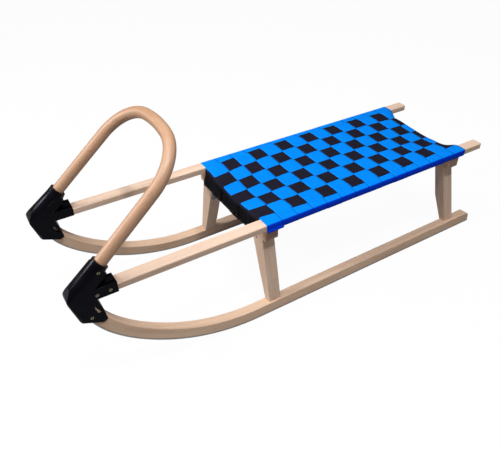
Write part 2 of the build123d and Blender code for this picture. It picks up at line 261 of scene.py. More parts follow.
def round_corner(run, bend):
    """Along and down for a strip that runs straight and then turns a right angle."""
    turn = np.clip(run / bend, 0, math.pi / 2)
    along = np.where(run < 0, run, bend * np.sin(turn))
    down = np.where(run < 0, 0.0, bend * (1 - np.cos(turn)))
    return along, down + np.clip(run - bend * math.pi / 2, 0, None)


def over_the_sides(v, y, z, tucked):
    """Carries the cloth round the rail's edge, down its face and, where tucked, in under it."""
    reach = v - EDGE_V
    along, down = round_corner(reach, SIDE_BEND)
    drop = RAIL_TOP + OVER_RAIL - RAIL_BASE + UNDER_RAIL
    to_base = SIDE_BEND * math.pi / 2 + drop - SIDE_BEND - TUCK_BEND
    under = np.where(tucked, reach - to_base, -1.0)
    tuck_in, tuck_down = round_corner(under, TUCK_BEND)
    lip = np.where(tucked, 0.0, LIP_OUT * smooth(down, LIP_START, LIP_END))
    y = np.where(reach > 0, EDGE_V + along * SIDE_OUT / SIDE_BEND + lip, y)
    fall = np.where(tucked, np.minimum(down, drop - TUCK_BEND), down)
    z = np.where(reach > 0, RAIL_TOP + OVER_RAIL - fall, z)
    below = RAIL_BASE - UNDER_RAIL + TUCK_BEND - tuck_in.clip(0, TUCK_BEND)
    return np.where(under > 0, y - tuck_down, y), np.where(under > 0, below, z)


edge = over_the_sides(np.array([EDGE_V + 40]), np.array([0.0]), np.array([0.0]), np.array([True]))
print("40 mm past the edge the cloth is at y and z", np.round(edge, 1).ravel())

# %% Over the front beam
FLAP_SHORTER = 14.0  # the left end of the flap is cut away by this much
FLARE_LEFT, FLARE_RIGHT = 0.02, 0.105


def over_the_front(x_flat, y, z, side):
    """Turns lengthwise tapes down over the front beam, into a flap that flares at its right end."""
    along, down = round_corner(x_flat - (FLAP_X - FRONT_BEND), FRONT_BEND)
    loose = 1 - smooth(y, 125.0, 136.0)
    shorter = np.where(side > 0, FLAP_SHORTER * smooth(y, 88.0, 118.0), 0.0)
    full = FRONT_BEND + (FRONT_X + FRONT_RUN - FLAP_X + FRONT_BEND) - FRONT_BEND * math.pi / 2
    lower = down * (z - FLAP_BASE - shorter) / full
    flare = smooth(lower, 14.0, 50.0) * np.where(side > 0, FLARE_LEFT, FLARE_RIGHT)
    turning = x_flat > FLAP_X - FRONT_BEND
    x = np.where(turning, x_flat + (FLAP_X - FRONT_BEND + along - x_flat) * loose, x_flat)
    y = np.where(turning, y * (1 + flare * loose), y)
    return x, y, np.where(turning, z - lower * loose, z)


print("the flap hangs from z", round(RAIL_TOP - dip(FRONT_X), 1), "to", round(FLAP_BASE, 1))

# %% Over the rear beam
REAR_ROUNDER = 13.0  # how much wider the bend gets towards the rails
REAR_SLANT = 3.0  # how far the last tape slips back on the right-hand rail


def over_the_rear(u, v, x_flat, x, y, z, side):
    """Turns the cloth down behind the rear beam, inside the rails, and lets the ends hang there."""
    beyond = np.clip(u - SEAT_RUN, 0.0, None)
    slip = np.where(side < 0, REAR_SLANT, 0.0)
    x_flat = x_flat - slip * smooth(v, 128.0, 148.0) * smooth(u, 560.0, 615.0)
    bend = REAR_BEND + REAR_ROUNDER * smooth(y, 60.0, 110.0)
    along, down = round_corner(REAR_FACE_X + bend - x_flat, bend)
    loose = 1 - smooth(y, 56.0, 129.0)
    past = x_flat < REAR_FACE_X + bend
    x = np.where(past, x_flat + (REAR_FACE_X + bend - along - x_flat) * loose, x)
    z = np.where(past, z - down * loose, z)
    # The hanging ends lean in to the beam's rear face
    inwards = smooth(beyond + REAR_BEND / 4, 1.0, 20.0)
    return np.where(beyond > 0, x + (REAR_FACE_X - x) * inwards, x), z - beyond


print("the rear ends hang down for", REAR_RUN, "mm behind x", round(REAR_FACE_X, 1))

# %% The whole stretched surface
HALF_SPAN = 127.0  # where the dip ends, at the rail's inner edge
SKEW = 35.0  # how far the deepest place moves to the left at the rear


def seat_surface(u, v):
    """Places of cloth points: u is millimetres back from the front edge, v out from the middle."""
    side, v = np.sign(v), np.abs(v)
    x_flat = FRONT_X - (u - np.clip(u - SEAT_RUN, 0.0, None)) + 2.8 * smooth(v, 122.0, 142.0)
    x_held = np.clip(x_flat, FRONT_X - SEAT_RUN, FRONT_X)
    kept = 1 - gather(x_held)
    band_start = BAND_V * kept
    band = band_start + (v - BAND_V) * (EDGE_V - band_start) / (EDGE_V - BAND_V)
    y = np.where(v < BAND_V, v * kept, np.minimum(band, EDGE_V))
    skew = SKEW * np.clip((-200 - x_held) / 260, 0, 1)
    aside = np.abs(side * y - skew * (1 - np.clip(y / HALF_SPAN, 0, 1) ** 2))
    z = RAIL_TOP + 1.3 - dip(x_held) * (1 - np.clip(aside / HALF_SPAN, 0, 1) ** 1.5)
    z = z - 0.7 * smooth(y, 138.0, 150.0)
    y, z = over_the_sides(v, y, z, u > CROSS_PITCH)
    x, y, z = over_the_front(x_flat, y, z, side)
    x, z = over_the_rear(u, v, x_flat, x, y, z, side)
    return np.stack([x, side * y, z], -1)


print("front edge, middle:", seat_surface(np.array([0.0]), np.array([0.0])).round(1)[0])

# %% [markdown]
# ## The former
# A former is a helper mesh that the nodes can ask: where is the point (u, v), and which way does
# the cloth face there? The nodes could hold the whole rule themselves, but a few lines of NumPy
# are much easier to read. Places, facing and pull are stored on a fine grid. Its UV map holds u
# and v, so that a Sample UV Surface node can look them up. The former is removed once the tapes
# are made.


# %% Measure the surface on a grid
U_LOW, U_HIGH = -FRONT_RUN - 4, SEAT_RUN + REAR_RUN + 4
V_HIGH = 196.0
U_STEPS, V_STEPS = 360, 241
NUDGE = 0.008  # for the slope at each point
STEP_HALF = 0.012  # half the gap between the free tape end and the first tucked one
us = np.linspace(U_LOW, U_HIGH, U_STEPS - 2)
us = np.sort(np.append(us, [CROSS_PITCH - STEP_HALF, CROSS_PITCH + STEP_HALF]))
grid_u, grid_v = np.meshgrid(us, np.linspace(-V_HIGH, V_HIGH, V_STEPS), indexing="ij")
places = seat_surface(grid_u, grid_v) / 1000
along_u = seat_surface(grid_u + NUDGE, grid_v) - seat_surface(grid_u - NUDGE, grid_v)
along_v = seat_surface(grid_u, grid_v + NUDGE) - seat_surface(grid_u, grid_v - NUDGE)
facing = np.cross(along_v, along_u)
facing *= np.sign(facing[U_STEPS // 2, V_STEPS // 2, 2])
facing /= np.linalg.norm(facing, axis=-1, keepdims=True) + 1e-9
pulled = gather(np.clip(FRONT_X - grid_u, FRONT_X - SEAT_RUN, FRONT_X))
print("measured", places.shape[0], "by", places.shape[1], "points")


# %% Build the former
def store(mesh, name, kind, values):
    """Stores one value or vector for each vertex of a mesh."""
    data = mesh.attributes.new(name, kind, "POINT").data
    flat = np.asarray(values, np.float32).ravel()
    data.foreach_set("vector" if kind == "FLOAT_VECTOR" else "value", flat)


index = np.arange(U_STEPS * V_STEPS).reshape(U_STEPS, V_STEPS)
quads = np.stack([index[:-1, :-1], index[1:, :-1], index[1:, 1:], index[:-1, 1:]], -1)
former_mesh = bpy.data.meshes.new("seat former")
former_mesh.from_pydata(places.reshape(-1, 3).tolist(), [], quads.reshape(-1, 4).tolist())
flat_u = ((grid_u - U_LOW) / (U_HIGH - U_LOW)).reshape(-1)
flat_v = ((grid_v + V_HIGH) / (2 * V_HIGH)).reshape(-1)
corner_vertex = np.zeros(len(former_mesh.loops), np.int32)
former_mesh.loops.foreach_get("vertex_index", corner_vertex)
flat_uv = np.stack([flat_u, flat_v], -1)[corner_vertex].astype(np.float32)
former_mesh.uv_layers.new(name="cloth").data.foreach_set("uv", flat_uv.ravel())
store(former_mesh, "facing", "FLOAT_VECTOR", facing)
store(former_mesh, "pull", "FLOAT", pulled)
former = link_object("seat_former", former_mesh)
print("former with", len(former_mesh.polygons), "faces")

# %% [markdown]
# ## Weaving with Geometry Nodes
# Twenty-one tapes cross in ninety places. They could be modelled one by one, but a rule makes them
# all alike: one tape is a flat grid, and the nodes make a row of them, work out where each point
# crosses the other set, and lift it over or press it under by half a tape. A checker rule decides
# which: the sum of the tape's number and the crossing's number is even or odd. The point is then
# laid on the former. Both sets of tapes use one tree, and only the named inputs differ.


# %% A new tree with named inputs
def new_tree(name, kind, inputs, outputs):
    """A node tree. Inputs are (name, socket type, default), outputs are (name, socket type)."""
    made = bpy.data.node_groups.new(name, kind)
    for label, socket_type in outputs:
        made.interface.new_socket(label, in_out="OUTPUT", socket_type=socket_type)
    for label, socket_type, default in inputs:
        socket = made.interface.new_socket(label, in_out="INPUT", socket_type=socket_type)
        if default is not None:
            socket.default_value = default
    given, result = made.nodes.new("NodeGroupInput"), made.nodes.new("NodeGroupOutput")
    return made, given.outputs, result.inputs


def product(tree, first, *others):
    """Several sockets or numbers multiplied together."""
    for other in others:
        first = calc(tree, "MULTIPLY", first, other)
    return first


FLOAT, COUNT, SHAPE = "NodeSocketFloat", "NodeSocketInt", "NodeSocketGeometry"
OBJECT, FINISH = "NodeSocketObject", "NodeSocketMaterial"
print("a tree can take numbers, counts, shapes, objects and materials")

# %% Inputs of the weaving tree
weave, given, result = new_tree(
    "woven tapes",
    "GeometryNodeTree",
    [
        ("Geometry", SHAPE, None),
        ("Former", OBJECT, None),
        ("Finish", FINISH, None),
        ("Tapes", COUNT, 15),
        ("Pitch", FLOAT, 0.0412),
        ("Width", FLOAT, 0.041),
        ("Width on top", FLOAT, 0.044),
        ("First centre", FLOAT, 0.0),
        ("Start", FLOAT, 0.0),
        ("End", FLOAT, 0.6),
        ("Short start", FLOAT, 0.0),
        ("Short end", FLOAT, 0.6),
        ("Crossings", COUNT, 6),
        ("Crossing pitch", FLOAT, 0.046),
        ("Crossing width", FLOAT, 0.041),
        ("First crossing", FLOAT, 0.0),
        ("Soft edge", FLOAT, 0.005),
        ("Over when odd", FLOAT, 0.0),
        ("Lift", FLOAT, 0.0006),
        ("Across", FLOAT, 1.0),
        ("Steps", COUNT, 160),
        ("Seed", COUNT, 7),
    ],
    [("Geometry", SHAPE)],
)
print("weaving tree with", len(given) - 1, "inputs")

# %% A numbered row of flat tapes
POINTS_ACROSS = 9
strip = add_node(weave, "GeometryNodeMeshGrid", Size_X=1.0, Size_Y=1.0)
join(weave, POINTS_ACROSS, strip.inputs["Vertices X"])
join(weave, given["Steps"], strip.inputs["Vertices Y"])
starts = add_node(weave, "GeometryNodePoints", Count=given["Tapes"])
number = add_node(weave, "GeometryNodeCaptureAttribute", Geometry=starts.outputs[0])
number.capture_items.new("INT", "number")
join(weave, add_node(weave, "GeometryNodeInputIndex").outputs[0], number.inputs["number"])
rows = add_node(
    weave, "GeometryNodeInstanceOnPoints", Points=number.outputs[0], Instance=strip.outputs[0]
)
real = add_node(weave, "GeometryNodeRealizeInstances", Geometry=rows.outputs[0])
tape = number.outputs["number"]
here = add_node(weave, "GeometryNodeInputPosition").outputs[0]
across, along, _ = add_node(weave, "ShaderNodeSeparateXYZ", Vector=here).outputs
print("each tape has", POINTS_ACROSS, "points across its width")

# %% Where each tape starts and ends
# The first tape and the last two across the sled are short: their ends hang free on the rails'
# faces. Each lengthwise tape is also a little longer or shorter at its free end.
LAST_SHORT, LONGEST_SLACK = 2.5, 0.004
first = calc(weave, "LESS_THAN", tape, 0.5)
last = calc(weave, "GREATER_THAN", tape, calc(weave, "SUBTRACT", given["Tapes"], LAST_SHORT))
short = product(weave, calc(weave, "MAXIMUM", first, last), given["Across"])
start = blend(weave, short, given["Start"], given["Short start"])
end = blend(weave, short, given["End"], given["Short end"])
slack = add_node(
    weave, "FunctionNodeRandomValue", {"data_type": "FLOAT"}, ID=tape, Seed=given["Seed"]
).outputs[1]
lengthwise = calc(weave, "SUBTRACT", 1.0, given["Across"])
start = calc(weave, "ADD", start, product(weave, slack, lengthwise, LONGEST_SLACK))
run = ramp(weave, along, -0.5, 0.5, start, end, curve="LINEAR")
print("weaving tree:", len(weave.nodes), "nodes so far")

# %% Over or under at each crossing
from_first = calc(weave, "SUBTRACT", run, given["First crossing"])
crossing = calc(weave, "ROUND", calc(weave, "DIVIDE", from_first, given["Crossing pitch"]))
last_crossing = calc(weave, "SUBTRACT", given["Crossings"], 1.0)
crossing = calc(weave, "MINIMUM", calc(weave, "MAXIMUM", crossing, 0.0), last_crossing)
gap = calc(weave, "SUBTRACT", from_first, product(weave, crossing, given["Crossing pitch"]))
half_crossing = product(weave, given["Crossing width"], 0.5)
beyond = calc(weave, "SUBTRACT", calc(weave, "ABSOLUTE", gap), half_crossing)
inside, outside = (product(weave, given["Soft edge"], share) for share in (-0.4, 0.6))
touching = ramp(weave, beyond, inside, outside, 1.0, 0.0)
both_numbers = calc(weave, "ADD", calc(weave, "ADD", tape, crossing), given["Over when odd"])
odd = calc(weave, "FLOORED_MODULO", both_numbers, 2.0)
over = calc(weave, "SUBTRACT", 1.0, product(weave, odd, 2.0))
print("weaving tree:", len(weave.nodes), "nodes so far")

# %% Laps past the last crossing, and the tape's width
# There, neighbouring lengthwise tapes lap over each other by turns, and get a little wider.
LAP, WIDER, LAP_RUN = 0.9, 0.03, (0.003, 0.010)
odd_tape = calc(weave, "FLOORED_MODULO", tape, 2.0)
by_turns = calc(weave, "SUBTRACT", product(weave, odd_tape, 2.0), 1.0)
ended = product(weave, ramp(weave, beyond, *LAP_RUN), lengthwise)
lap = product(weave, by_turns, ended, LAP)
rise = calc(weave, "MULTIPLY_ADD", over, touching, lap)
on_top = calc(weave, "MAXIMUM", product(weave, over, touching), 0.0)
width = blend(weave, on_top, given["Width"], given["Width on top"])
width = product(weave, width, calc(weave, "MULTIPLY_ADD", ended, WIDER, 1.0))
centre = calc(weave, "MULTIPLY_ADD", tape, given["Pitch"], given["First centre"])
print("weaving tree:", len(weave.nodes), "nodes so far")

# %% Ask the former
FORMER_U, FORMER_V = (U_LOW / 1000, U_HIGH / 1000), (-V_HIGH / 1000, V_HIGH / 1000)
former_info = add_node(weave, "GeometryNodeObjectInfo", Object=given["Former"])


def attribute(tree, name, kind):
    """What the geometry stores under a name."""
    settings = {"data_type": kind}
    return add_node(tree, "GeometryNodeInputNamedAttribute", settings, Name=name).outputs[0]


def ask_former(name, kind, u_share, v_share):
    """The former's attribute at a point of the cloth, given as shares of the former's sides."""
    sample = add_node(
        weave,
        "GeometryNodeSampleUVSurface",
        {"data_type": kind},
        Mesh=former_info.outputs["Geometry"],
        UV_Map=attribute(weave, "cloth", "FLOAT_VECTOR"),
        Sample_UV=add_node(weave, "ShaderNodeCombineXYZ", X=u_share, Y=v_share).outputs[0],
    )
    join(weave, attribute(weave, name, kind), sample.inputs["Value"])
    return sample.outputs[0]


# Where the lengthwise tapes are pulled together they keep their own width
pull = ask_former("pull", "FLOAT", ramp(weave, run, *FORMER_U, curve="LINEAR"), 0.5)
kept = calc(weave, "SUBTRACT", 1.0, product(weave, pull, lengthwise))
sideways = product(weave, across, width, calc(weave, "DIVIDE", 1.0, kept))
place_across = calc(weave, "ADD", centre, sideways)
print("the tree asks the former for the pull")


# %% Find each point's place on the former
# Tapes across the sled run in v and are spaced in u. Lengthwise tapes are the other way round.
def mix(tree, share, low, high, kind="RGBA"):
    """A Mix node for colours or vectors: low where share is 0, high where it is 1."""
    node = add_node(tree, "ShaderNodeMix", {"data_type": kind})
    first_input, second_input, output = {"RGBA": (6, 7, 2), "VECTOR": (4, 5, 1)}[kind]
    for value, which in ((share, 0), (low, first_input), (high, second_input)):
        join(tree, value, node.inputs[which])
    return node.outputs[output]


crossway = add_node(weave, "ShaderNodeCombineXYZ", X=place_across, Y=run).outputs[0]
lengthway = add_node(weave, "ShaderNodeCombineXYZ", X=run, Y=place_across).outputs[0]
cloth_point = mix(weave, given["Across"], lengthway, crossway, kind="VECTOR")
cloth_u, cloth_v, _ = add_node(weave, "ShaderNodeSeparateXYZ", Vector=cloth_point).outputs
u_share = ramp(weave, cloth_u, *FORMER_U, curve="LINEAR")
v_share = ramp(weave, cloth_v, *FORMER_V, curve="LINEAR")
place = ask_former("position", "FLOAT_VECTOR", u_share, v_share)
outwards = ask_former("facing", "FLOAT_VECTOR", u_share, v_share)
print("weaving tree:", len(weave.nodes), "nodes so far")

# %% Lift the tapes and end the tree
# On the rail each tape bulges by its own amount, and the ends of the first tape stand off the rail.
BULGE, STAND_OFF = 0.0006, 0.0022
ONTO_RAIL, PAST_EDGE = (0.150, 0.158), (0.156, 0.171)


def end_tree(tree, shape, finish, result):
    """Ends a tree: instances become real faces, and the finish is set on all of them."""
    real = add_node(tree, "GeometryNodeRealizeInstances", Geometry=shape)
    finished = add_node(tree, "GeometryNodeSetMaterial", Geometry=real.outputs[0], Material=finish)
    join(tree, finished.outputs[0], result[0])
    print(tree.name, "has", len(tree.nodes), "nodes")


how_far = calc(weave, "ABSOLUTE", cloth_v)
bulge = product(weave, slack, ramp(weave, how_far, *ONTO_RAIL), BULGE)
stand_off = product(weave, first, ramp(weave, how_far, *PAST_EDGE), STAND_OFF)
extra = product(weave, calc(weave, "ADD", bulge, stand_off), given["Across"])
height = calc(weave, "MULTIPLY_ADD", rise, given["Lift"], extra)
lifted = add_node(weave, "ShaderNodeVectorMath", {"operation": "SCALE"}, Scale=height)
join(weave, outwards, lifted.inputs[0])
laid = add_node(weave, "ShaderNodeVectorMath", {"operation": "ADD"})
join(weave, place, laid.inputs[0])
join(weave, lifted.outputs[0], laid.inputs[1])


def store_in(tree, shape, name, kind, value):
    """A Store Named Attribute node on the points of a shape."""
    settings = {"data_type": kind, "domain": "POINT"}
    stored = add_node(tree, "GeometryNodeStoreNamedAttribute", settings, Geometry=shape, Name=name)
    join(tree, value, stored.inputs["Value"])
    return stored.outputs[0]


pattern = add_node(weave, "ShaderNodeCombineXYZ", X=sideways, Y=run, Z=tape).outputs[0]
marked = store_in(weave, real.outputs[0], "tape", "FLOAT_VECTOR", pattern)
placed = add_node(weave, "GeometryNodeSetPosition", Geometry=marked, Position=laid.outputs[0])
shaded = add_node(weave, "GeometryNodeSetShadeSmooth", Geometry=placed.outputs[0])
end_tree(weave, shaded.outputs[0], given["Finish"], result)

# %% [markdown]
# ## Finishes for the cloth
# The tapes are woven polypropylene, matt with a soft sheen. An image of cloth would stretch where
# the tapes bend, so a shader group makes the fine ribs from the tape's own coordinates instead,
# and the ribs follow each tape over and under. The same group serves the blue and the black cloth.

# %% Shader group for woven cloth
TINT, ARROW = "NodeSocketColor", "NodeSocketVector"
ribs, given, result = new_tree(
    "woven ribs",
    "ShaderNodeTree",
    [
        ("Cloth", ARROW, None),
        ("Colour", TINT, None),
        ("Shade", TINT, None),
        ("Rib pitch", FLOAT, 0.0011),
    ],
    [("Colour", TINT), ("Height", FLOAT), ("Roughness", FLOAT)],
)
sideways, run, _ = add_node(ribs, "ShaderNodeSeparateXYZ", Vector=given["Cloth"]).outputs
turns = calc(ribs, "DIVIDE", 2 * math.pi, given["Rib pitch"])
rib = calc(ribs, "SINE", product(ribs, run, turns))
thread = calc(ribs, "SINE", product(ribs, sideways, product(ribs, turns, 0.7)))
woven = calc(ribs, "MULTIPLY_ADD", product(ribs, rib, thread), 0.5, 0.5)
patchy = add_node(ribs, "ShaderNodeTexNoise", Scale=45.0, Detail=3.0, Roughness=0.55)
fine = add_node(ribs, "ShaderNodeTexNoise", Scale=900.0, Detail=2.0)
for noise in (patchy, fine):
    join(ribs, given["Cloth"], noise.inputs["Vector"])
mixed = calc(ribs, "MULTIPLY_ADD", patchy.outputs[0], 0.55, product(ribs, fine.outputs[0], 0.25))
worn = ramp(ribs, calc(ribs, "MULTIPLY_ADD", woven, 0.2, mixed), 0.25, 0.75)
join(ribs, mix(ribs, worn, given["Shade"], given["Colour"]), result["Colour"])
join(ribs, woven, result["Height"])
join(ribs, ramp(ribs, patchy.outputs[0], 0.3, 0.7, 0.62, 0.74), result["Roughness"])
print("woven ribs group ready")

# %% Cloth materials
# The blue tapes get a deeper blue on the rails' faces, which is painted shade on those sides. The
# black ones get a deeper black where they hang as a flap, which is painted shade on the flap's
# face.
BUMP_DEPTH = 0.0002


def shader_attribute(tree, name, output):
    """What the mesh stores under a name: output is Vector, or Fac for a number."""
    return add_node(tree, "ShaderNodeAttribute", {"attribute_name": name}).outputs[output]


def set_surface(tree, surface, colour, roughness, height=None, relief=0.0, **others):
    """Feeds a Principled surface: colour, roughness, bumps from a height, and others by name."""
    join(tree, colour, surface.inputs["Base Color"])
    join(tree, roughness, surface.inputs["Roughness"])
    if relief:
        bump = add_node(tree, "ShaderNodeBump", Strength=relief, Distance=BUMP_DEPTH, Height=height)
        join(tree, bump.outputs[0], surface.inputs["Normal"])
    for name, value in others.items():
        join(tree, value, surface.inputs[name.replace("_", " ")])


def cloth_material(name, colour, shade, painted_shade, where):
    """A cloth with painted shade where its tape runs: where makes a share from the tape's own run.
    """
    made, tree, surface = new_material(name)
    cloth = shader_attribute(tree, "tape", "Vector")
    settings = {"node_tree": ribs}
    group = add_node(tree, "ShaderNodeGroup", settings, Cloth=cloth, Colour=colour, Shade=shade)
    run = add_node(tree, "ShaderNodeSeparateXYZ", Vector=cloth).outputs[1]
    shown = mix(tree, where(tree, run), group.outputs["Colour"], painted_shade)
    rough, height = group.outputs["Roughness"], group.outputs["Height"]
    set_surface(tree, surface, shown, rough, height, 0.25, Specular_IOR_Level=0.05)
    return made


# Painted shade: the blue turns deeper on the rails' outer faces, which get less light.
def on_rail_face(tree, run):
    return ramp(tree, calc(tree, "ABSOLUTE", run), 0.1525, 0.1545)


# Painted shade: the black turns deeper where it hangs as the flap's face.
def on_flap(tree, run):
    return ramp(tree, run, -0.014, -0.002, 1.0, 0.0)


# The last blue colour is painted shade for the rails' faces.
BLUE, BLUE_SHADE, BLUE_PAINTED_SHADE = (0.0, 0.265, 0.97, 1), (0.0, 0.225, 0.90, 1), (0.0, 0.045, 0.72, 1)
BLACK, BLACK_SHADE = (0.017, 0.015, 0.028, 1), (0.011, 0.010, 0.019, 1)
# Painted shade for the flap.
BLACK_PAINTED_SHADE = (0.0045, 0.0040, 0.0060, 1)
blue_cloth = cloth_material("blue webbing", BLUE, BLUE_SHADE, BLUE_PAINTED_SHADE, on_rail_face)
black_cloth = cloth_material("black webbing", BLACK, BLACK_SHADE, BLACK_PAINTED_SHADE, on_flap)
print("cloth materials:", blue_cloth.name, "and", black_cloth.name)


# %% Run a tree and keep its result as a plain mesh
def grow(name, tree, values, mesh=None):
    """Runs a Geometry Nodes tree with named values, and returns the result as a plain object."""
    seed = link_object(name + " seed", mesh or bpy.data.meshes.new(name + " seed"))
    modifier = seed.modifiers.new("grow", "NODES")
    modifier.node_group = tree
    for item in tree.interface.items_tree:
        if item.in_out == "INPUT" and item.name in values:
            modifier[item.identifier] = values[item.name]
    bpy.context.view_layer.update()
    graph = bpy.context.evaluated_depsgraph_get()
    plain = bpy.data.meshes.new_from_object(
        seed.evaluated_get(graph), preserve_all_data_layers=True, depsgraph=graph
    )
    plain.name = name
    bpy.data.objects.remove(seed)
    made = link_object(name, plain)
    print(name, "has", len(plain.polygons), "faces")
    return made


def solidify(piece, thickness):
    """Gives a sheet its thickness, half to each side."""
    thick = piece.modifiers.new("thickness", "SOLIDIFY")
    thick.thickness = thickness
    thick.offset = 0.0


print("trees can be run")

# %% The tapes across the sled
WRAP_END, FREE_END = 191.8, 170.4  # how far from the middle the tucked and the free ends lie
TOP_WIDTH = 44.2  # a tape spreads a little where it lies on top
LIFT = 0.6
cross_tapes = grow(
    "seat_cross_tapes",
    weave,
    {
        "Former": former,
        "Finish": blue_cloth,
        "Tapes": CROSS_TAPES,
        "Pitch": CROSS_PITCH * MM,
        "Width": CROSS_WIDTH * MM,
        "Width on top": TOP_WIDTH * MM,
        "First centre": CROSS_PITCH / 2 * MM,
        "Start": -WRAP_END * MM,
        "End": WRAP_END * MM,
        "Short start": -FREE_END * MM,
        "Short end": FREE_END * MM,
        "Crossings": LONG_TAPES,
        "Crossing pitch": LONG_PITCH * MM,
        "Crossing width": LONG_WIDTH * MM,
        "First crossing": FIRST_LONG * MM,
        "Soft edge": 5.0 * MM,
        "Over when odd": 0.0,
        "Lift": LIFT * MM,
        "Across": 1.0,
        "Steps": 190,
    },
)
solidify(cross_tapes, CLOTH * MM)

# %% The tapes along the sled
long_tapes = grow(
    "seat_lengthwise_tapes",
    weave,
    {
        "Former": former,
        "Finish": black_cloth,
        "Tapes": LONG_TAPES,
        "Pitch": LONG_PITCH * MM,
        "Width": LONG_WIDTH * MM,
        "Width on top": LONG_WIDTH * MM,
        "First centre": FIRST_LONG * MM,
        "Start": -FRONT_RUN * MM,
        "End": (SEAT_RUN + REAR_RUN) * MM,
        "Crossings": CROSS_TAPES,
        "Crossing pitch": CROSS_PITCH * MM,
        "Crossing width": CROSS_PITCH * MM,
        "First crossing": CROSS_PITCH / 2 * MM,
        "Soft edge": 8.0 * MM,
        "Over when odd": 1.0,
        "Lift": LIFT * MM,
        "Across": 0.0,
        "Steps": 330,
    },
)
solidify(long_tapes, CLOTH * MM)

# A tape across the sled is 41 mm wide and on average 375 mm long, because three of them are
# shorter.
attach(cross_tapes, "root")
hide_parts("seat_webbing")
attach(long_tapes, "root")
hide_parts("seat_flap")
bpy.data.objects.remove(former)

# %% [markdown]
# ## Beech wood
# Beech is pale and pinkish, with a faint long grain and many short darker flecks. A picture of
# wood would repeat its flecks from piece to piece, so the group makes both from stretched noise:
# squeezed coordinates give long streaks. A Mapping node in each material turns the grain along the
# piece, so one group serves rails, legs, beams, runners and bow.

# %% Streaks and flecks
NOISE, CELLS = "ShaderNodeTexNoise", "ShaderNodeTexVoronoi"
beech, given, result = new_tree(
    "beech grain",
    "ShaderNodeTree",
    [("Along", ARROW, None), ("Pale", TINT, None), ("Streak", TINT, None), ("Fleck", TINT, None)],
    [("Colour", TINT), ("Height", FLOAT), ("Roughness", FLOAT)],
)


def squeezed(tree, kind, place, squeeze, **inputs):
    """A texture node on coordinates that are squeezed by their own factor along each axis."""
    mapping = add_node(tree, "ShaderNodeMapping", Vector=place, Scale=squeeze)
    return add_node(tree, kind, Vector=mapping.outputs[0], Scale=1.0, **inputs).outputs


bands = squeezed(
    beech, NOISE, given["Along"], (3, 60, 60), Detail=5.0, Roughness=0.6, Distortion=0.6
)[0]
lines = squeezed(beech, NOISE, given["Along"], (40, 700, 700), Detail=3.0, Roughness=0.5)[0]
cells = squeezed(beech, CELLS, given["Along"], (220, 1300, 1300))["Distance"]
fleck = ramp(beech, cells, 0.12, 0.32, 1.0, 0.0)
print("beech has long bands, fine lines and short flecks")

# %% Colour, height and roughness of beech
mixed = calc(beech, "MULTIPLY_ADD", bands, 0.75, product(beech, lines, 0.35))
tone = mix(beech, ramp(beech, mixed, 0.35, 0.78), given["Pale"], given["Streak"])
join(beech, mix(beech, product(beech, fleck, 0.45), tone, given["Fleck"]), result["Colour"])
join(beech, calc(beech, "SUBTRACT", lines, product(beech, fleck, 0.5)), result["Height"])
join(beech, ramp(beech, bands, 0.3, 0.7, 0.42, 0.56), result["Roughness"])
print("beech grain group has", len(beech.nodes), "nodes")

# %% Wood materials
# Each wood has a pale colour, one for its streaks and one for its flecks.
FLECK = (0.52, 0.33, 0.22, 1)
PLAIN_BEECH = ((0.90, 0.68, 0.535, 1), (0.75, 0.53, 0.39, 1), FLECK)
RUNNER_BEECH = ((0.93, 0.67, 0.49, 1), (0.74, 0.50, 0.345, 1), FLECK)
BEAM_BEECH = ((0.80, 0.57, 0.42, 1), (0.62, 0.41, 0.28, 1), FLECK)
LACQUERED_BEECH = ((0.66, 0.39, 0.24, 1), (0.46, 0.245, 0.13, 1), (0.36, 0.18, 0.10, 1))
# End grain is darker, and this colour also serves as painted shade on the beams' ends under the
# rails.
END_GRAIN_AND_SHADE = (0.42, 0.26, 0.19, 1)


def object_place(tree):
    """A point's own coordinates, in metres."""
    return add_node(tree, "ShaderNodeTexCoord").outputs["Object"]


def show_end_grain_and_shade(tree, shown, end):
    """Sawn ends drink the oil and look darker, and this also paints the shade under the rails: it
    colours what lies past both ends along y.
    """
    y = add_node(tree, "ShaderNodeSeparateXYZ", Vector=object_place(tree)).outputs[1]
    low, high = calc(tree, "LESS_THAN", y, -end), calc(tree, "GREATER_THAN", y, end)
    return mix(tree, calc(tree, "MAXIMUM", low, high), shown, END_GRAIN_AND_SHADE)


def wood_material(
    name,
    colours=PLAIN_BEECH,
    turn=(0, 0, 0),
    shift=(0, 0, 0),
    along=object_place,
    end=None,
    relief=0.12,
    shine=0.12,
):
    """Beech whose grain runs along x, or along another axis after a turn. The shift varies it."""
    made, tree, surface = new_material(name)
    turned = add_node(tree, "ShaderNodeMapping", Vector=along(tree), Rotation=turn, Location=shift)
    group = add_node(tree, "ShaderNodeGroup", {"node_tree": beech}, Along=turned.outputs[0])
    for label, colour in zip(("Pale", "Streak", "Fleck"), colours):
        join(tree, colour, group.inputs[label])
    shown, height, rough = group.outputs
    if end:
        shown = show_end_grain_and_shade(tree, shown, end)
    set_surface(tree, surface, shown, rough, height, relief, Specular_IOR_Level=shine)
    return made


print("colours of beech:", len({PLAIN_BEECH, RUNNER_BEECH, BEAM_BEECH, LACQUERED_BEECH}))

# %% Grain that follows the runner
CURL_START, CURL_RADIUS = 0.1594, 0.482


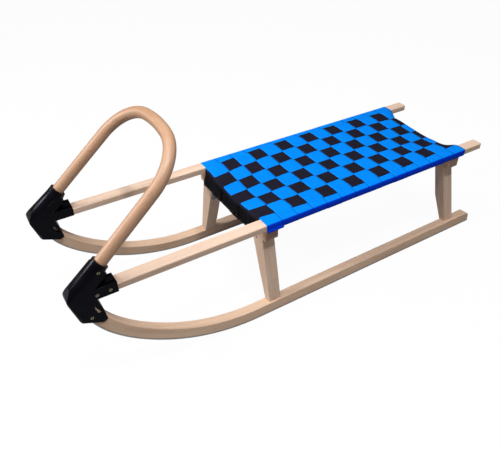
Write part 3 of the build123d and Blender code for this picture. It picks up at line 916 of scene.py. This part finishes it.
def follow_runner(tree):
    """Coordinates that stay along the runner where it curls up, by unrolling its first bend."""
    x, y, z = add_node(tree, "ShaderNodeSeparateXYZ", Vector=object_place(tree)).outputs
    ahead = calc(tree, "SUBTRACT", x, CURL_START)
    below = calc(tree, "SUBTRACT", CURL_RADIUS, z)
    angle = calc(tree, "ARCTAN2", ahead, below)
    squares = [calc(tree, "POWER", calc(tree, "ABSOLUTE", leg), 2.0) for leg in (ahead, below)]
    length = calc(tree, "SQRT", calc(tree, "ADD", *squares))
    curled = calc(tree, "GREATER_THAN", ahead, 0.0)
    along = blend(tree, curled, ahead, product(tree, angle, CURL_RADIUS))
    depth = blend(tree, curled, z, calc(tree, "SUBTRACT", CURL_RADIUS, length))
    return add_node(tree, "ShaderNodeCombineXYZ", X=along, Y=y, Z=depth).outputs[0]


print("runners curl up from x", CURL_START, "with a radius of", CURL_RADIUS)

# %% A wood for each piece
BEAM_END = 0.1528
QUARTER_TURN = math.pi / 2
ALONG_Y, ALONG_Z = (0, 0, QUARTER_TURN), (0, QUARTER_TURN, 0)
woods = {}
for side, shift in (("left", (0.3, 0.07, 0)), ("right", (0.9, 0.11, 0.2))):
    woods["rail_" + side] = wood_material("rail wood " + side, shift=shift)
for side, shift in (("left", (0.1, 0.31, 0)), ("right", (0.7, 0.23, 0))):
    name = "runner wood " + side
    woods["runner_" + side] = wood_material(name, RUNNER_BEECH, shift=shift, along=follow_runner)
for side, shift in (("front", (0, 0.5, 0)), ("rear", (0, 0.8, 0))):
    name = side + " beam wood"
    woods["beam_" + side] = wood_material(name, BEAM_BEECH, ALONG_Y, shift, end=BEAM_END)
for count, corner in enumerate(("front_left", "front_right", "rear_left", "rear_right")):
    name, shift = f"leg wood {count + 1}", (0.4 * count, 0.1, 0)
    woods["leg_" + corner] = wood_material(name, turn=ALONG_Z, shift=shift)
print(len(woods), "wood materials")

# %% [markdown]
# ## Eased edges
# Sawn wood is never razor sharp: its arrises are sanded round by about a millimetre. CAD could
# round them too, but then every size and check would carry the extra faces. A Weld and a Bevel
# modifier do it here, and the CAD mesh itself stays as it is.


# %% Ease the edges of the wooden pieces
WOOD_EDGE, PLASTIC_EDGE = 0.0012, 0.0006
WELD_GAP = 0.00002


def finish_node(name, material, ease=None):
    """Gives a CAD node its material and, where asked, rounded edges."""
    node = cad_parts[name]
    node.data.materials.clear()
    node.data.materials.append(material)
    if ease:
        weld = node.modifiers.new("weld", "WELD")
        weld.merge_threshold = WELD_GAP
        bevel = node.modifiers.new("eased edges", "BEVEL")
        bevel.width = ease
        bevel.segments = 2
        bevel.limit_method = "ANGLE"
        bevel.angle_limit = math.radians(35)


for name, material in woods.items():
    finish_node(name, material, WOOD_EDGE)
print(len(woods), "wooden pieces finished")

# %% [markdown]
# ## The bow
# The bow is one bent and lacquered bar. Its grain follows the bend, which a pattern on plain
# coordinates can't do, so the bar is swept again along its own path with Geometry Nodes. The path
# stores how far along it each ring is, and the material reads that.

# %% Path of the bow
BOW_FOOT = Vector((0.473, 0.138, 0.2958))
BOW_SLOPE, BOW_LEAN = math.radians(41.5), math.radians(1.9)
BOW_LEG, BOW_HEIGHT, BOW_CORNER, BOW_SEAT = 0.150, 0.249, 0.100, 0.070
BOW_RADIUS = 0.0125
LEG_STEPS, CORNER_STEPS, CROWN_STEPS = 12, 32, 24


def arc(middle_y, middle_v, radius, first, last, steps):
    """Points of an arc from one angle to another, as (y, height)."""
    turns = [first + (last - first) * step / steps for step in range(steps + 1)]
    return [(middle_y + radius * math.cos(t), middle_v + radius * math.sin(t)) for t in turns]


def bow_path():
    """Points of the left half and then the right half, first flat and then tipped back."""
    bend_y = BOW_FOOT.y - BOW_LEG * math.sin(BOW_LEAN)
    bend_v = BOW_LEG * math.cos(BOW_LEAN)
    corner_y = bend_y - BOW_CORNER * math.cos(BOW_LEAN)
    corner_v = bend_v - BOW_CORNER * math.sin(BOW_LEAN)
    over = BOW_HEIGHT - corner_v
    crown = (corner_y**2 + over**2 - BOW_CORNER**2) / (2 * (over - BOW_CORNER))
    crown_v = BOW_HEIGHT - crown
    meet = math.atan2(corner_v - crown_v, corner_y)
    foot_y, foot_v = BOW_FOOT.y + BOW_SEAT * math.sin(BOW_LEAN), -BOW_SEAT * math.cos(BOW_LEAN)
    half = [(foot_y, foot_v)]
    for step in range(1, LEG_STEPS):
        left = 1 - step / LEG_STEPS
        half.append((bend_y + (foot_y - bend_y) * left, bend_v + (foot_v - bend_v) * left))
    half += arc(corner_y, corner_v, BOW_CORNER, -BOW_LEAN, meet, CORNER_STEPS)
    half += arc(0.0, crown_v, crown, meet, math.pi / 2, CROWN_STEPS)[1:]
    whole = half + [(-y, v) for y, v in reversed(half[:-1])]
    back, rise = math.cos(BOW_SLOPE), math.sin(BOW_SLOPE)
    return [(BOW_FOOT.x - back * v, y, BOW_FOOT.z + rise * v) for y, v in whole]


path = bow_path()
path_mesh = bpy.data.meshes.new("bow path")
path_mesh.from_pydata(path, [(i, i + 1) for i in range(len(path) - 1)], [])
print("bow path of", len(path), "points, crown at", np.round(path[len(path) // 2], 3))

# %% A tree that sweeps a bar
sweep, given, result = new_tree(
    "bent bar",
    "GeometryNodeTree",
    [
        ("Geometry", SHAPE, None),
        ("Radius", FLOAT, 0.0125),
        ("Sides", COUNT, 32),
        ("Finish", FINISH, None),
    ],
    [("Geometry", SHAPE)],
)
line = add_node(sweep, "GeometryNodeMeshToCurve", Mesh=given["Geometry"]).outputs[0]
length = add_node(sweep, "GeometryNodeSplineParameter").outputs["Length"]
ring = add_node(
    sweep, "GeometryNodeCurvePrimitiveCircle", Resolution=given["Sides"], Radius=given["Radius"]
).outputs[0]
spot = add_node(sweep, "GeometryNodeInputPosition").outputs[0]
bar = add_node(
    sweep,
    "GeometryNodeCurveToMesh",
    Curve=store_in(sweep, line, "along", "FLOAT", length),
    Profile_Curve=store_in(sweep, ring, "section", "FLOAT_VECTOR", spot),
    Fill_Caps=True,
)
smooth_bar = add_node(sweep, "GeometryNodeSetShadeSmooth", Geometry=bar.outputs[0])
end_tree(sweep, smooth_bar.outputs[0], given["Finish"], result)


# %% Sweep the bow
def follow_bow(tree):
    """Coordinates along the bar and across its round section, which has no seam."""
    along = shader_attribute(tree, "along", "Fac")
    section = shader_attribute(tree, "section", "Vector")
    aside, out, _ = add_node(tree, "ShaderNodeSeparateXYZ", Vector=section).outputs
    return add_node(tree, "ShaderNodeCombineXYZ", X=along, Y=aside, Z=out).outputs[0]


bow_wood = wood_material("bow wood", LACQUERED_BEECH, along=follow_bow, relief=0.03, shine=0.9)
values = {"Radius": BOW_RADIUS, "Sides": 32, "Finish": bow_wood}
bow = grow("bow_bar", sweep, values, mesh=path_mesh)
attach(bow, "root")
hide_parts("bow")
swept = np.array([v.co for v in bow.data.vertices])
print("bow box here:", swept.min(0).round(4), swept.max(0).round(4))

# %% [markdown]
# ## Brackets and shoes
# The corner brackets are moulded black plastic: smooth, a little glossy, with a faint mould
# texture. The steel shoes under the runners are brushed along their length. Both look uneven in
# the same way, by a noise that moves the colour and the roughness together, as wear does.

# %% Moulded plastic
plastic, tree, surface = new_material("black moulding")
grainy, cloudy = (
    add_node(tree, NOISE, Vector=object_place(tree), Scale=scale, Detail=detail).outputs[0]
    for scale, detail in ((900.0, 2.0), (30.0, 3.0))
)
shade = mix(
    tree, ramp(tree, cloudy, 0.3, 0.7), (0.0026, 0.0024, 0.0044, 1), (0.0042, 0.0038, 0.0064, 1)
)
rough = ramp(tree, cloudy, 0.3, 0.7, 0.22, 0.3)
set_surface(
    tree,
    surface,
    shade,
    rough,
    grainy,
    0.05,
    Specular_IOR_Level=0.14,
    Specular_Tint=(0.75, 0.8, 1.0, 1),
)
print(plastic.name, "has", len(tree.nodes), "nodes")

# %% Brushed steel
steel, tree, surface = new_material("brushed steel")
brushed = squeezed(tree, NOISE, object_place(tree), (20, 900, 900), Detail=3.0)[0]
shade = mix(tree, brushed, (0.50, 0.50, 0.51, 1), (0.68, 0.68, 0.69, 1))
set_surface(tree, surface, shade, ramp(tree, brushed, 0.3, 0.7, 0.42, 0.58), Metallic=1.0)
for side in ("left", "right"):
    finish_node("corner_bracket_" + side, plastic, PLASTIC_EDGE)
    finish_node("runner_shoe_" + side, steel)
print("brackets and shoes finished")

# %% [markdown]
# ## Screws, nails and staples
# Small fasteners hold the sled together: cross-head screws through the brackets and the steel
# shoes, nails in the legs, and wire staples where the tapes end. Each kind is one small head mesh.
# A Geometry Nodes tree sets it on every marked spot, upright on the surface and turned by a random
# amount, as a hand would leave it. The spots are plain points that carry the surface's direction.
# Placing each head by hand would work too, but a spot can be moved without touching the rest.


# %% Nail heads, turned from rings
def finish_form(form, name):
    """Turns a bmesh into an object with its faces outwards."""
    bmesh.ops.recalc_face_normals(form, faces=form.faces)
    mesh = bpy.data.meshes.new(name)
    form.to_mesh(mesh)
    form.free()
    return link_object(name, mesh)


def turned_head(name, radius, rings, sides):
    """A turned head: rings are (share of the radius, height in metres) from the middle outwards."""
    form = bmesh.new()
    middle = form.verts.new((0, 0, rings[0][1]))
    turns = [2 * math.pi * i / sides for i in range(sides)]
    loops = []
    for share, rise in rings[1:]:
        ring = [(radius * share * math.cos(t), radius * share * math.sin(t), rise) for t in turns]
        loops.append([form.verts.new(corner) for corner in ring])
    for i in range(sides):
        j = (i + 1) % sides
        form.faces.new((middle, loops[0][i], loops[0][j]))
        for inner, outer in zip(loops, loops[1:]):
            form.faces.new((inner[i], outer[i], outer[j], inner[j]))
    form.faces.new(list(reversed(loops[-1])))
    return finish_form(form, name)


NAIL_RADIUS = 0.0021
NAIL_RINGS = [(0, 0.0005), (0.75, 0.0005), (1.0, 0.0003), (1.0, -0.0004)]
nail_head = turned_head("nail head form", NAIL_RADIUS, NAIL_RINGS, sides=16)
print("nail head:", len(nail_head.data.polygons), "faces")

# %% Screw heads with a cross recess
SCREW_RADIUS, SCREW_RISE, RECESS = 0.0032, 0.0011, 0.0012
ARM_HALF, ARM_REACH = 0.15, 0.51  # of the recess, as shares of the radius
SKIRT_END = -0.0004
HALF_MARKS = [0.14, 0.2, 0.34, 0.5, 0.56, 0.7, 0.86, 1.0]
MARKS = [-mark for mark in reversed(HALF_MARKS)] + [0.0] + HALF_MARKS


def cross_head(name, radius, rise, depth):
    """A domed screw head with a cross recess, drawn as a grid bent into a disc."""
    form = bmesh.new()
    hollow = form.verts.layers.float.new("hollow")
    grid = []
    for a in MARKS:
        row = []
        for b in MARKS:
            x, y = a * math.sqrt(1 - b * b / 2), b * math.sqrt(1 - a * a / 2)
            near, far = sorted((abs(a), abs(b)))
            in_recess = near <= ARM_HALF and far <= ARM_REACH
            z = rise * (1 - 0.7 * (x * x + y * y) ** 1.5) - (depth if in_recess else 0.0)
            corner = form.verts.new((radius * x, radius * y, z))
            corner[hollow] = 1.0 if in_recess else 0.0
            row.append(corner)
        grid.append(row)
    for row, following in zip(grid, grid[1:]):
        for j in range(len(MARKS) - 1):
            form.faces.new((row[j], following[j], following[j + 1], row[j + 1]))
    rim = grid[0][:-1] + [row[-1] for row in grid[:-1]]
    rim += grid[-1][:0:-1] + [row[0] for row in grid[:0:-1]]
    skirt = [form.verts.new((v.co.x, v.co.y, SKIRT_END)) for v in rim]
    for i in range(len(rim)):
        j = (i + 1) % len(rim)
        form.faces.new((rim[i], rim[j], skirt[j], skirt[i]))
    form.faces.new(skirt)
    return finish_form(form, name)


screw_head = cross_head("screw head form", SCREW_RADIUS, SCREW_RISE, RECESS)
print("screw head:", len(screw_head.data.polygons), "faces")

# %% Staples
# Half of the wire's line, as (share of the width, height in wires). The other half mirrors it.
STAPLE_HALF = [(-0.5, -0.7), (-0.5, 0.55), (-0.46, 0.9), (-0.38, 1.0)]
STAPLE_WIDTH, STAPLE_WIRE, WIRE_FLATNESS = 0.0105, 0.0008, 0.7


def staple_form(name, width, wire):
    """A staple's bar: a bent strip of flat wire whose two ends dive into the surface."""
    form = bmesh.new()
    rings = []
    for x, z in STAPLE_HALF + [(-x, z) for x, z in reversed(STAPLE_HALF)]:
        out = (x * width, z * wire)
        under = (z - 1.0) * wire if abs(x) > 0.4 else 0.0
        low = (x * (1 - 2 * wire / width) * width, min(out[1], under))
        corners = ((out, -1), (out, 1), (low, 1), (low, -1))
        ring = [(px, py * wire * WIRE_FLATNESS, pz) for (px, pz), py in corners]
        rings.append([form.verts.new(corner) for corner in ring])
    for ring, following in zip(rings, rings[1:]):
        for i in range(4):
            j = (i + 1) % 4
            form.faces.new((ring[i], ring[j], following[j], following[i]))
    form.faces.new(rings[0])
    form.faces.new(list(reversed(rings[-1])))
    return finish_form(form, name)


staple = staple_form("staple form", STAPLE_WIDTH, STAPLE_WIRE)
print("staple:", len(staple.data.polygons), "faces")

# %% The tree that sets the fasteners
fasten, given, result = new_tree(
    "set fasteners",
    "GeometryNodeTree",
    [
        ("Geometry", SHAPE, None),
        ("Head", OBJECT, None),
        ("Finish", FINISH, None),
        ("Largest turn", FLOAT, 3.14),
        ("Seed", COUNT, 11),
    ],
    [("Geometry", SHAPE)],
)
facing_there, along_there = (
    attribute(fasten, name, "FLOAT_VECTOR") for name in ("facing", "along")
)
align = "FunctionNodeAlignRotationToVector"
upright = add_node(fasten, align, {"axis": "Z"}, Vector=facing_there).outputs[0]
lined_up = add_node(
    fasten, align, {"axis": "X", "pivot_axis": "Z"}, Rotation=upright, Vector=along_there
).outputs[0]
amount = add_node(fasten, "FunctionNodeRandomValue", {"data_type": "FLOAT"}, Seed=given["Seed"])
join(fasten, product(fasten, given["Largest turn"], -1.0), amount.inputs[2])
join(fasten, given["Largest turn"], amount.inputs[3])
twist = add_node(
    fasten, "FunctionNodeAxisAngleToRotation", Axis=(0, 0, 1), Angle=amount.outputs[1]
).outputs[0]
turned = add_node(
    fasten,
    "FunctionNodeRotateRotation",
    {"rotation_space": "LOCAL"},
    Rotation=lined_up,
    Rotate_By=twist,
)
set_heads = add_node(
    fasten,
    "GeometryNodeInstanceOnPoints",
    Points=add_node(fasten, "GeometryNodeMeshToPoints", Mesh=given["Geometry"]).outputs[0],
    Instance=add_node(fasten, "GeometryNodeObjectInfo", Object=given["Head"]).outputs["Geometry"],
    Rotation=turned.outputs[0],
)
end_tree(fasten, set_heads.outputs[0], given["Finish"], result)

# %% Spots on the side frames
# Each side frame leans inwards. A spot is (place in millimetres, facing, the head's own length).
CANT, TRACK_HALF = math.radians(5.5), 153.7
OUTWARDS, DOWN = (0.0, math.cos(CANT), math.sin(CANT)), (0.0, math.sin(CANT), -math.cos(CANT))
AHEAD = (1.0, 0.0, 0.0)
BRACKET_FACE, SHOE_MIDDLE, SHOE_FACE = 28.6, 12.75, -0.1


def on_left_frame(x, height, width):
    """A place in the left frame, in millimetres: height up the lean, and width outwards."""
    y = TRACK_HALF - height * math.sin(CANT) + width * math.cos(CANT)
    return x, y, height * math.cos(CANT) + width * math.sin(CANT)


bracket_spots = [
    (on_left_frame(x, height, BRACKET_FACE), OUTWARDS, AHEAD)
    for x, height in ((487.5, 282.3), (473.8, 237.3), (499.5, 236.0), (518.8, 191.0))
]
shoe_spots = [
    (on_left_frame(x, SHOE_FACE, SHOE_MIDDLE), DOWN, AHEAD)
    for x in (-540.0, -380.0, -180.0, 20.0, 150.0)
]
nail_spots = [((129.15, 115.1, 186.5), (1.0, 0.0, -0.01), (0.0, 1.0, 0.0))]
print("screws on each side:", len(bracket_spots), "in the bracket,", len(shoe_spots), "in the shoe")

# %% Spots on the cloth
# Two staples hold each lengthwise tape on the flap, a little askew. Under each rail there are two
# staples in line with every tape across the sled, except the first and the last.
FLAP_ROW, FLAP_ASKEW, FLAP_SHARE, FLAP_LIFT = -49.0, 1.2, 0.28, 1.2
TUCK_ROW, TUCK_SHARE, TUCK_LIFT = 178.0, 0.25, 1.0
SLOPE_STEP = 0.5


def cloth_spot(u, v, lift):
    """A spot on top of the cloth at (u, v): its place, its facing, and the ways along u and v."""
    here, further, wider = (
        seat_surface(np.array([a]), np.array([b]))[0]
        for a, b in ((u, v), (u + SLOPE_STEP, v), (u, v + SLOPE_STEP))
    )
    way_u, way_v = further - here, wider - here
    facing = np.cross(way_v, way_u)
    facing /= np.linalg.norm(facing)
    way_u, way_v = way_u / np.linalg.norm(way_u), way_v / np.linalg.norm(way_v)
    return here + facing * lift, facing, way_u, way_v


flap_spots, tuck_spots = [], []
for tape in range(LONG_TAPES):
    for share in (-FLAP_SHARE, FLAP_SHARE):
        u = FLAP_ROW + FLAP_ASKEW * share
        v = (tape - (LONG_TAPES - 1) / 2 + share) * LONG_PITCH
        place, facing, way_u, way_v = cloth_spot(u, v, FLAP_LIFT)
        flap_spots.append((place, facing, way_v))
for tape in range(1, CROSS_TAPES - 1):
    for share in (-TUCK_SHARE, TUCK_SHARE):
        u = (tape + 0.5 + share) * CROSS_PITCH
        place, facing, way_u, way_v = cloth_spot(u, TUCK_ROW, TUCK_LIFT)
        tuck_spots.append((place, facing, way_u))
print(len(flap_spots), "staples on the flap and", len(tuck_spots), "under each rail")

# %% [markdown]
# ## Small metal finishes
# The bracket screws are zinc plated with a yellow tint. The others are plain bright steel. Both
# are metals whose roughness is broken up by fine noise, so the small heads glint unevenly. The
# recess of each cross head gets painted shade: an attribute on the head mesh darkens it.

# %% Metal for the fasteners
# Painted shade for the recess of each cross head
RECESS_SHADE = (0.02, 0.018, 0.014, 1)


def metal(name, bright, dull, rough):
    """A metal with fine stains, and with painted shade where the mesh is marked as hollow."""
    made, tree, surface = new_material(name)
    place = object_place(tree)
    stains = add_node(tree, NOISE, Vector=place, Scale=700.0, Detail=2.0).outputs[0]
    stained = mix(tree, ramp(tree, stains, 0.35, 0.65), bright, dull)
    hollow = shader_attribute(tree, "hollow", "Fac")
    shown = mix(tree, hollow, stained, RECESS_SHADE)
    roughness = ramp(tree, stains, 0.3, 0.7, rough, rough + 0.15)
    bare = calc(tree, "SUBTRACT", 1.0, hollow)
    set_surface(tree, surface, shown, roughness, Metallic=bare)
    return made


yellow_zinc = metal("yellow zinc", (0.60, 0.54, 0.36, 1), (0.36, 0.31, 0.19, 1), 0.25)
bright_steel = metal("bright steel", (0.55, 0.55, 0.56, 1), (0.32, 0.32, 0.34, 1), 0.3)
dark_wire = metal("staple wire", (0.10, 0.10, 0.11, 1), (0.04, 0.04, 0.05, 1), 0.45)
print("metals:", ", ".join(made.name for made in (yellow_zinc, bright_steel, dark_wire)))

# %% Set the screws, nails and staples
ANY_TURN, FLAP_TURN, TUCK_TURN = 3.14, 0.12, 0.15


def both_sides(spots):
    """The spots on the left, and then their right-hand twins."""
    return spots + [tuple((x, -y, z) for x, y, z in spot) for spot in spots]


def set_on(name, spots, head, material, turn, seed):
    """Grows one piece of fasteners on a list of spots."""
    mesh = bpy.data.meshes.new(name + " spots")
    mesh.from_pydata([tuple(c / 1000 for c in spot[0]) for spot in spots], [], [])
    store(mesh, "facing", "FLOAT_VECTOR", [spot[1] for spot in spots])
    store(mesh, "along", "FLOAT_VECTOR", [spot[2] for spot in spots])
    values = {"Head": head, "Finish": material, "Largest turn": turn, "Seed": seed}
    piece = grow(name, fasten, values, mesh=mesh)
    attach(piece, "root")
    print(name, "holds", len(spots), "heads")


set_on("bracket_screws", both_sides(bracket_spots), screw_head, yellow_zinc, ANY_TURN, 3)
set_on("shoe_screws", both_sides(shoe_spots), screw_head, bright_steel, ANY_TURN, 5)
set_on("leg_nails", both_sides(nail_spots), nail_head, dark_wire, ANY_TURN, 7)
set_on("flap_staples", flap_spots, staple, dark_wire, FLAP_TURN, 9)
set_on("tuck_staples", both_sides(tuck_spots), staple, bright_steel, TUCK_TURN, 13)

# %% [markdown]
# ## Steel braces
# A small bent steel strip stiffens each front leg where it meets the front beam. It is a flat
# strip with clipped ends, bent once. Its middle line is drawn first and given width, and Solidify
# and Bevel modifiers then make the thickness and the soft edges, which is easier than drawing
# them.

# %% Middle line of a brace
LEG_TOP, LEG_DOWN = (95.0, 195.8), (0.304, -0.952)  # the front leg's inner face, as (y, z)
OFF_LEG = 1.0
UNDER_BEAM = 194.7
BEND_RADIUS, BEND_STEPS = 3.0, 5
BEAM_ARM, LEG_ARM = 26.0, 44.0


def brace_line():
    """Middle line in millimetres, as (y, z): along under the beam, then down the leg."""
    down_y, down_z = LEG_DOWN
    fall = (LEG_TOP[1] - down_y * OFF_LEG - UNDER_BEAM) / -down_z
    corner = LEG_TOP[0] + down_z * OFF_LEG + down_y * fall
    turn = math.acos(down_y)
    start = corner - BEND_RADIUS * math.tan(turn / 2)
    line = [(corner - BEAM_ARM, UNDER_BEAM)]
    for step in range(BEND_STEPS + 1):
        angle = turn * step / BEND_STEPS
        drop = BEND_RADIUS * (1 - math.cos(angle))
        line.append((start + BEND_RADIUS * math.sin(angle), UNDER_BEAM - drop))
    return line + [(corner + down_y * LEG_ARM, UNDER_BEAM + down_z * LEG_ARM)]


print("brace line of", len(brace_line()), "points")

# %% Bent strips
BRACE_X, BRACE_HALF, BRACE_CLIP = 118.5, 6.5, 2.5
BRACE_THICKNESS, BRACE_EDGE = 0.0018, 0.0004


def brace(side):
    """One brace as a bent strip across x, with its corners clipped."""
    line = brace_line()
    form = bmesh.new()
    rows = []

    def add_row(y, z, half):
        xs = [(BRACE_X + share * half) / 1000 for share in (-1, -0.33, 0.33, 1)]
        rows.append([form.verts.new((x, side * y / 1000, z / 1000)) for x in xs])

    for i, (y, z) in enumerate(line):
        at_end = i in (0, len(line) - 1)
        add_row(y, z, BRACE_HALF - BRACE_CLIP if at_end else BRACE_HALF)
        if i in (0, len(line) - 2):
            next_y, next_z = line[i + 1]
            share = BRACE_CLIP / math.hypot(next_y - y, next_z - z)
            share = share if i == 0 else 1 - share
            add_row(y + (next_y - y) * share, z + (next_z - z) * share, BRACE_HALF)
    for row, following in zip(rows, rows[1:]):
        for k in range(len(row) - 1):
            form.faces.new((row[k], row[k + 1], following[k + 1], following[k]))
    return form


for name, side in (("brace_front_left", 1), ("brace_front_right", -1)):
    strip = finish_form(brace(side), name)
    strip.data.materials.append(bright_steel)
    solidify(strip, BRACE_THICKNESS)
    soften = strip.modifiers.new("soft edges", "BEVEL")
    soften.width, soften.segments, soften.limit_method = BRACE_EDGE, 2, "ANGLE"
    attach(strip, "root")
    print(name, "has", len(strip.data.polygons), "faces before its thickness")

# %% Screws of the braces
LEG_SCREW, OFF_THE_LEG = (BRACE_X, 102.918, 164.766), (0.0, -0.952, -0.304)
BEAM_SCREW, STRAIGHT_DOWN = (BRACE_X, 77.0, 193.8), (0.0, 0.0, -1.0)
brace_spots = [(LEG_SCREW, OFF_THE_LEG, AHEAD), (BEAM_SCREW, STRAIGHT_DOWN, AHEAD)]
set_on("brace_screws", both_sides(brace_spots), screw_head, bright_steel, ANY_TURN, 17)
for helper in (screw_head, nail_head, staple):
    bpy.data.objects.remove(helper)
print("the helper heads are gone")
